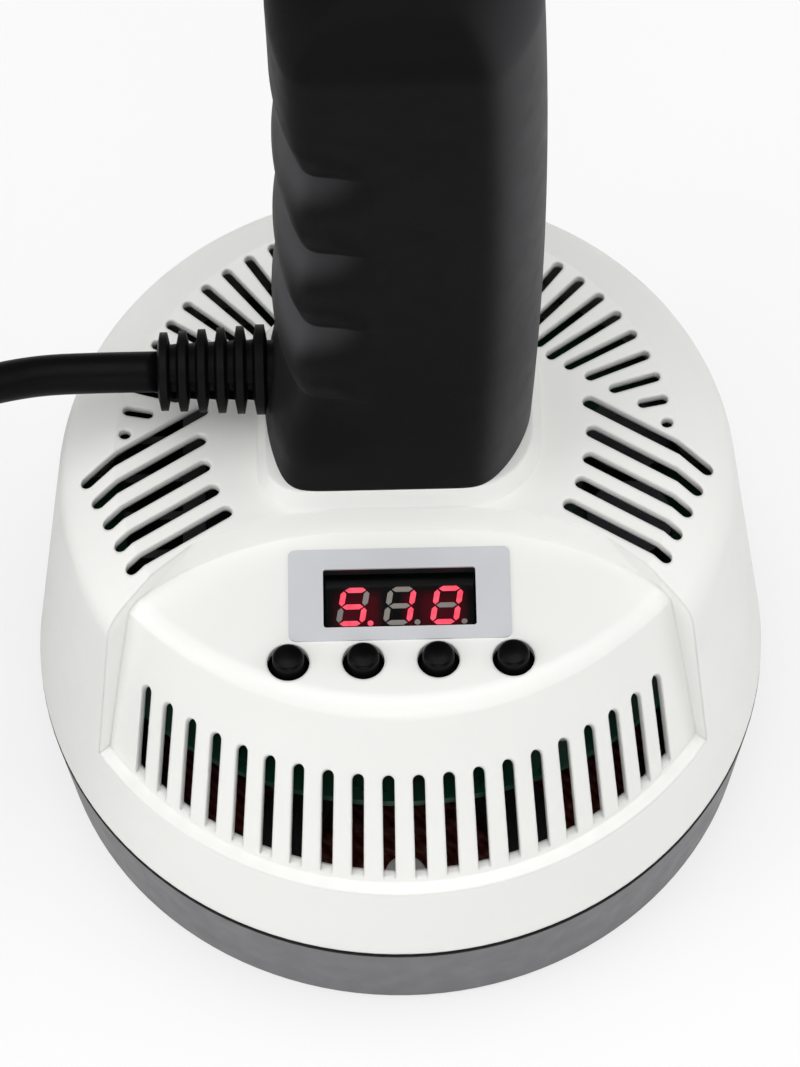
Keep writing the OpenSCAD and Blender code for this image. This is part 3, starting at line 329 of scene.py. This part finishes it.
def bump(m, height, strength, distance, normal=None):
    """A bumped normal, over another normal where one is given."""
    b = node(m, "ShaderNodeBump", Strength=strength, Distance=distance)
    link(m, height, b.inputs["Height"])
    if normal is not None:
        link(m, normal, b.inputs["Normal"])
    return b.outputs["Normal"]


def shader_of(m):
    """The principled shader of m."""
    return m.node_tree.nodes["Principled BSDF"]


def moulded(name, colour, low, high, grain, depth, tint=0.03, edge=None, **extra):
    """Moulded plastic: slow colour drift, roughness between low and high, spark-eroded grain and soft edges."""
    m = material(name, colour, low, **extra)
    s = shader_of(m)
    slow = noise(m, 35, 3)
    dark = tuple(c * (1 - tint) for c in colour)
    light = tuple(min(c * (1 + tint), 1) for c in colour)
    link(m, ramp(m, slow, [(0.3, dark), (0.7, light)]), s.inputs["Base Color"])
    link(m, ramp(m, noise(m, 220, 5), [(0.3, low), (0.7, high)]), s.inputs["Roughness"])
    normal = None
    if edge:
        normal = node(m, "ShaderNodeBevel", samples=6, Radius=edge).outputs["Normal"]
    link(m, bump(m, noise(m, grain, 3, 0.6), 0.35, depth, normal), s.inputs["Normal"])
    return m


def srgb(*v):
    """Linear colour from three 0-255 display values."""
    c = np.array(v) / 255
    return tuple(float(x) for x in np.where(c <= 0.04045, c / 12.92, ((c + 0.055) / 1.055) ** 2.4))


WHITE = moulded("white_plastic", srgb(236, 236, 233), 0.34, 0.46, 2600, 0.00003, 0.012, 0.0008)
GREY = moulded("grey_plastic", srgb(96, 95, 98), 0.42, 0.54, 2200, 0.00004, 0.03, 0.0004)
BLACK = moulded("black_plastic", srgb(30, 30, 32), 0.36, 0.5, 3000, 0.00005, 0.08, 0.0003)
BUTTON = moulded("button_plastic", srgb(7, 7, 8), 0.26, 0.36, 3000, 0.00003, 0.08, Specular_IOR_Level=0.08)
GRIP = moulded("grip_plastic", srgb(66, 66, 68), 0.42, 0.52, 2400, 0.00006, 0.08, Specular_IOR_Level=0.02,
               Sheen_Weight=0.03, Sheen_Roughness=0.35)
RUBBER = moulded("black_rubber", srgb(12, 12, 13), 0.42, 0.58, 2000, 0.00006, 0.08, 0.0003, Specular_IOR_Level=0.07)
CABLE = moulded("cable_jacket", srgb(9, 9, 10), 0.34, 0.48, 1600, 0.00008, 0.1, Specular_IOR_Level=0.06)
DARK = moulded("dark_resin", srgb(20, 16, 17), 0.12, 0.2, 900, 0.00001, 0.1, 0.0002)
FILM = moulded("silver_film", srgb(206, 207, 211), 0.34, 0.44, 5200, 0.00001, 0.02, Metallic=0.1)
BOARD = moulded("board_green", srgb(14, 62, 46), 0.25, 0.4, 700, 0.00008, 0.18)
STEEL = moulded("screw_steel", srgb(176, 176, 180), 0.28, 0.42, 3200, 0.00003, 0.05, 0.0002, Metallic=1.0)
ANODISED = moulded("heatsink_black", srgb(16, 16, 18), 0.4, 0.55, 1800, 0.00004, 0.05, 0.0002)
BRASS = moulded("pin_metal", srgb(196, 188, 165), 0.22, 0.34, 2400, 0.00002, 0.05, 0.0003, Metallic=1.0)
SLEEVE = moulded("capacitor_sleeve", srgb(20, 22, 30), 0.22, 0.34, 800, 0.00003, 0.06, 0.0004)
YELLOW = moulded("yellow_tape", srgb(212, 168, 60), 0.32, 0.46, 1400, 0.00004, 0.06, 0.0003)
BLOCK = moulded("green_block", srgb(48, 122, 84), 0.35, 0.5, 1800, 0.00003, 0.05, 0.0003)
BROWN = moulded("brown_lead", srgb(92, 58, 38), 0.4, 0.52, 1800, 0.00004, 0.06)
BLUE = moulded("blue_lead", srgb(46, 84, 158), 0.4, 0.52, 1800, 0.00004, 0.06)
RED = moulded("red_lead", srgb(176, 34, 36), 0.4, 0.52, 1800, 0.00004, 0.06)
FORMER = moulded("former_resin", srgb(74, 62, 52), 0.4, 0.55, 1500, 0.00005, 0.06, 0.0004)
FERRITE = moulded("ferrite", srgb(58, 58, 60), 0.5, 0.66, 1100, 0.0001, 0.12, 0.0003)
RIBBON = moulded("ribbon_grey", srgb(150, 150, 154), 0.4, 0.5, 1500, 0.00003, 0.05)
UNLIT = moulded("segment_unlit", srgb(140, 134, 130), 0.35, 0.45, 2500, 0.00001, 0.05)


def axes(m):
    """The three Object coordinates as sockets."""
    split = node(m, "ShaderNodeSeparateXYZ")
    link(m, coords(m), split.inputs["Vector"])
    return [split.outputs[axis] for axis in "XYZ"]


def maths(m, operation, a, b):
    """One Math node; a and b are sockets or numbers."""
    n = node(m, "ShaderNodeMath", operation=operation)
    for socket, value in zip(n.inputs, (a, b)):
        if isinstance(value, (int, float)):
            socket.default_value = value
        else:
            link(m, value, socket)
    return n.outputs["Value"]


def paint(m, factor, colour):
    """Covers the base colour of m with another where factor is 1."""
    s = shader_of(m)
    mix = node(m, "ShaderNodeMix", data_type="RGBA")
    link(m, factor, mix.inputs["Factor"])
    link(m, s.inputs["Base Color"].links[0].from_socket, mix.inputs[6])
    mix.inputs[7].default_value = (*colour, 1)
    link(m, mix.outputs[2], s.inputs["Base Color"])


def painted_light_tone(m):
    """Multiplies the base colour of m by the point attribute of painted light and shade."""
    s = shader_of(m)
    mix = node(m, "ShaderNodeMix", data_type="RGBA", blend_type="MULTIPLY", Factor=1.0)
    link(m, s.inputs["Base Color"].links[0].from_socket, mix.inputs[6])
    link(m, node(m, "ShaderNodeAttribute", attribute_name="painted_light").outputs["Fac"], mix.inputs[7])
    link(m, mix.outputs[2], s.inputs["Base Color"])


def seam_shadow(m, level):
    """Paints everything above a height near black: a painted shadow in the groove under the housing."""
    paint(m, maths(m, "GREATER_THAN", axes(m)[2], level), srgb(16, 16, 17))


def window_edge(m, low, high):
    """Paints the edge of the display window black: all within the display block's box and a rim round it."""
    rim = 0.0006
    inside = 1.0
    for axis, a, b in zip(axes(m)[:2], low, high):
        half = (b - a) / 2 + rim
        away = maths(m, "ABSOLUTE", maths(m, "SUBTRACT", axis, (a + b) / 2), 0.0)
        inside = maths(m, "MULTIPLY", maths(m, "LESS_THAN", away, half), inside)
    paint(m, inside, srgb(14, 13, 14))


def display_glow(m, low, high):
    """Paints a dark red halo on the block behind the lit digits: spans across it that fade towards top and bottom."""
    x, y, _ = axes(m)
    across = maths(m, "DIVIDE", maths(m, "SUBTRACT", x, low[0]), high[0] - low[0])
    up = maths(m, "DIVIDE", maths(m, "SUBTRACT", y, low[1]), high[1] - low[1])
    spans = ramp(m, across, [(0.04, 0.0), (0.12, 0.9), (0.32, 0.9), (0.39, 0.0), (0.5, 0.0), (0.56, 0.8), (0.62, 0.3),
                             (0.68, 0.9), (0.9, 0.9), (0.97, 0.0)])
    fade = ramp(m, up, [(0.0, 0.5), (0.15, 1.0), (0.62, 1.0), (0.82, 0.0)])
    paint(m, maths(m, "MULTIPLY", spans, fade), srgb(72, 10, 20))


SEAM_Z = 0.0207
LED_LOW, LED_HIGH = ([float(c) for c in v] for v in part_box("led_module"))
FACE = moulded("display_face", srgb(13, 12, 13), 0.16, 0.24, 900, 0.00001, 0.1, 0.0002)
display_glow(FACE, LED_LOW, LED_HIGH)
window_edge(WHITE, LED_LOW, LED_HIGH)
# painted highlights and painted shade on the grip's colour
painted_light_tone(GRIP)
# painted shadow in the seam under the housing
seam_shadow(GREY, SEAM_Z)


def coil_wire():
    """Lacquered stranded wire: fine twisted strands as slanted waves round the coil."""
    m = material("coil_wire", srgb(118, 70, 44), 0.4)
    s = shader_of(m)
    wave = node(m, "ShaderNodeTexWave", Scale=260, Distortion=2.0, Detail=2.0, bands_direction="DIAGONAL")
    link(m, coords(m), wave.inputs["Vector"])
    strands = ramp(m, wave.outputs["Fac"], [(0.2, srgb(112, 46, 34)), (0.8, srgb(146, 70, 52))])
    link(m, strands, s.inputs["Base Color"])
    link(m, bump(m, wave.outputs["Fac"], 0.6, 0.0002), s.inputs["Normal"])
    return m


def lit_segment():
    """Lit digit bars: a red glow, its colour drifting a little by noise, over a red base."""
    m = material("segment_lit", srgb(120, 40, 50), 0.4, Emission_Strength=1.0)
    s = shader_of(m)
    glow = ramp(m, noise(m, 900, 2), [(0.3, srgb(246, 62, 88)), (0.7, srgb(255, 92, 114))])
    link(m, glow, s.inputs["Emission Color"])
    link(m, ramp(m, noise(m, 500, 2), [(0.3, 0.35), (0.7, 0.45)]), s.inputs["Roughness"])
    return m


COIL_WIRE, LIT = coil_wire(), lit_segment()
LOOKS = {
    "sealing_base": GREY, "housing": WHITE, "handle": GRIP, "strain_relief": RUBBER, "display_label": FILM,
    "led_module": FACE, "segments_off": UNLIT, "segments_on": LIT, "button_left": BUTTON, "button_mid_left": BUTTON,
    "button_mid_right": BUTTON, "button_right": BUTTON, "tact_switches": BLACK, "display_board": BOARD,
    "display_screws": STEEL, "ribbon_cable": RIBBON, "main_board": BOARD, "board_screws": STEEL, "heatsink": ANODISED,
    "power_transistors": DARK, "electrolytic_capacitors": SLEEVE, "film_capacitor": YELLOW, "transformer": YELLOW,
    "white_connector": WHITE, "terminal_block": BLOCK, "mains_lead_brown": BROWN, "mains_lead_blue": BLUE,
    "coil_leads": RED, "induction_coil": COIL_WIRE, "coil_former": FORMER, "ferrite_bars": FERRITE,
    "fan_frame": BLACK, "fan_rotor": BLACK, "fan_screws": STEEL, "base_screws": STEEL, "handle_screws": STEEL,
    "cord": CABLE,
    "cord_coil": CABLE, "cord_tail": CABLE, "cord_tie": BLACK, "mains_plug": RUBBER, "plug_pins": BRASS}
for name, look in LOOKS.items():
    NODES[name].data.materials.clear()
    NODES[name].data.materials.append(look)
cord.data.materials.append(CABLE)
handle.data.materials.append(GRIP)
for button in buttons:
    button.data.materials.append(BUTTON)


# Floor, light and view settings
def whiten(m, share):
    """Mixes plain white light of strength 1 into what the camera, mirrors and glass see. The rest keeps the shadow."""
    path = node(m, "ShaderNodeLightPath")
    seen = path.outputs["Is Camera Ray"]
    for kind in ("Is Glossy Ray", "Is Transmission Ray"):
        either = node(m, "ShaderNodeMath", operation="MAXIMUM")
        link(m, seen, either.inputs[0])
        link(m, path.outputs[kind], either.inputs[1])
        seen = either.outputs["Value"]
    part = node(m, "ShaderNodeMath", operation="MULTIPLY")
    part.inputs[1].default_value = share
    link(m, seen, part.inputs[0])
    white = node(m, "ShaderNodeEmission", Strength=1.0)
    mix = node(m, "ShaderNodeMixShader")
    link(m, part.outputs["Value"], mix.inputs["Fac"])
    link(m, shader_of(m).outputs["BSDF"], mix.inputs[1])
    link(m, white.outputs["Emission"], mix.inputs[2])
    link(m, mix.outputs["Shader"], m.node_tree.nodes["Material Output"].inputs["Surface"])


def make_stage():
    """A pale floor, white to the camera, and large soft lamps above, left, right and in front."""
    reach, white_share, sky = 3.0, 0.7, 0.3
    x, y = np.meshgrid([-reach, reach], [-reach, reach])
    floor = grid_mesh("floor", np.stack([x, y, np.zeros_like(x)], -1), False, smooth=False)
    m = material("floor", (0.86, 0.86, 0.86), 0.6)
    link(m, ramp(m, noise(m, 6, 3), [(0.3, 0.85), (0.7, 0.87)]), shader_of(m).inputs["Base Color"])
    whiten(m, white_share)
    floor.data.materials.append(m)
    lamps = [("top", (0.0, -0.15, 1.65), (0, 0, 0.05), 1.4, 16.5), ("left", (-1.3, -0.5, 0.9), (0, 0, 0.08), 0.9, 7),
             ("right", (1.4, 0.0, 0.8), (0, 0, 0.08), 0.9, 5), ("front", (0.1, -1.5, 0.6), (0, 0, 0.08), 1.0, 6)]
    for name, place, aim, size, power in lamps:
        data = bpy.data.lights.new(name, "AREA")
        data.shape, data.size, data.energy = "SQUARE", size, power
        lamp = bpy.data.objects.new(name, data)
        scene.collection.objects.link(lamp)
        lamp.location = place
        lamp.rotation_euler = (Vector(aim) - Vector(place)).to_track_quat("-Z", "Y").to_euler()
    world = bpy.data.worlds.new("studio")
    scene.world = world
    world.use_nodes = True
    background = world.node_tree.nodes["Background"]
    background.inputs["Color"].default_value = (1, 1, 1, 1)
    background.inputs["Strength"].default_value = sky
    scene.view_settings.view_transform = "Standard"


make_stage()
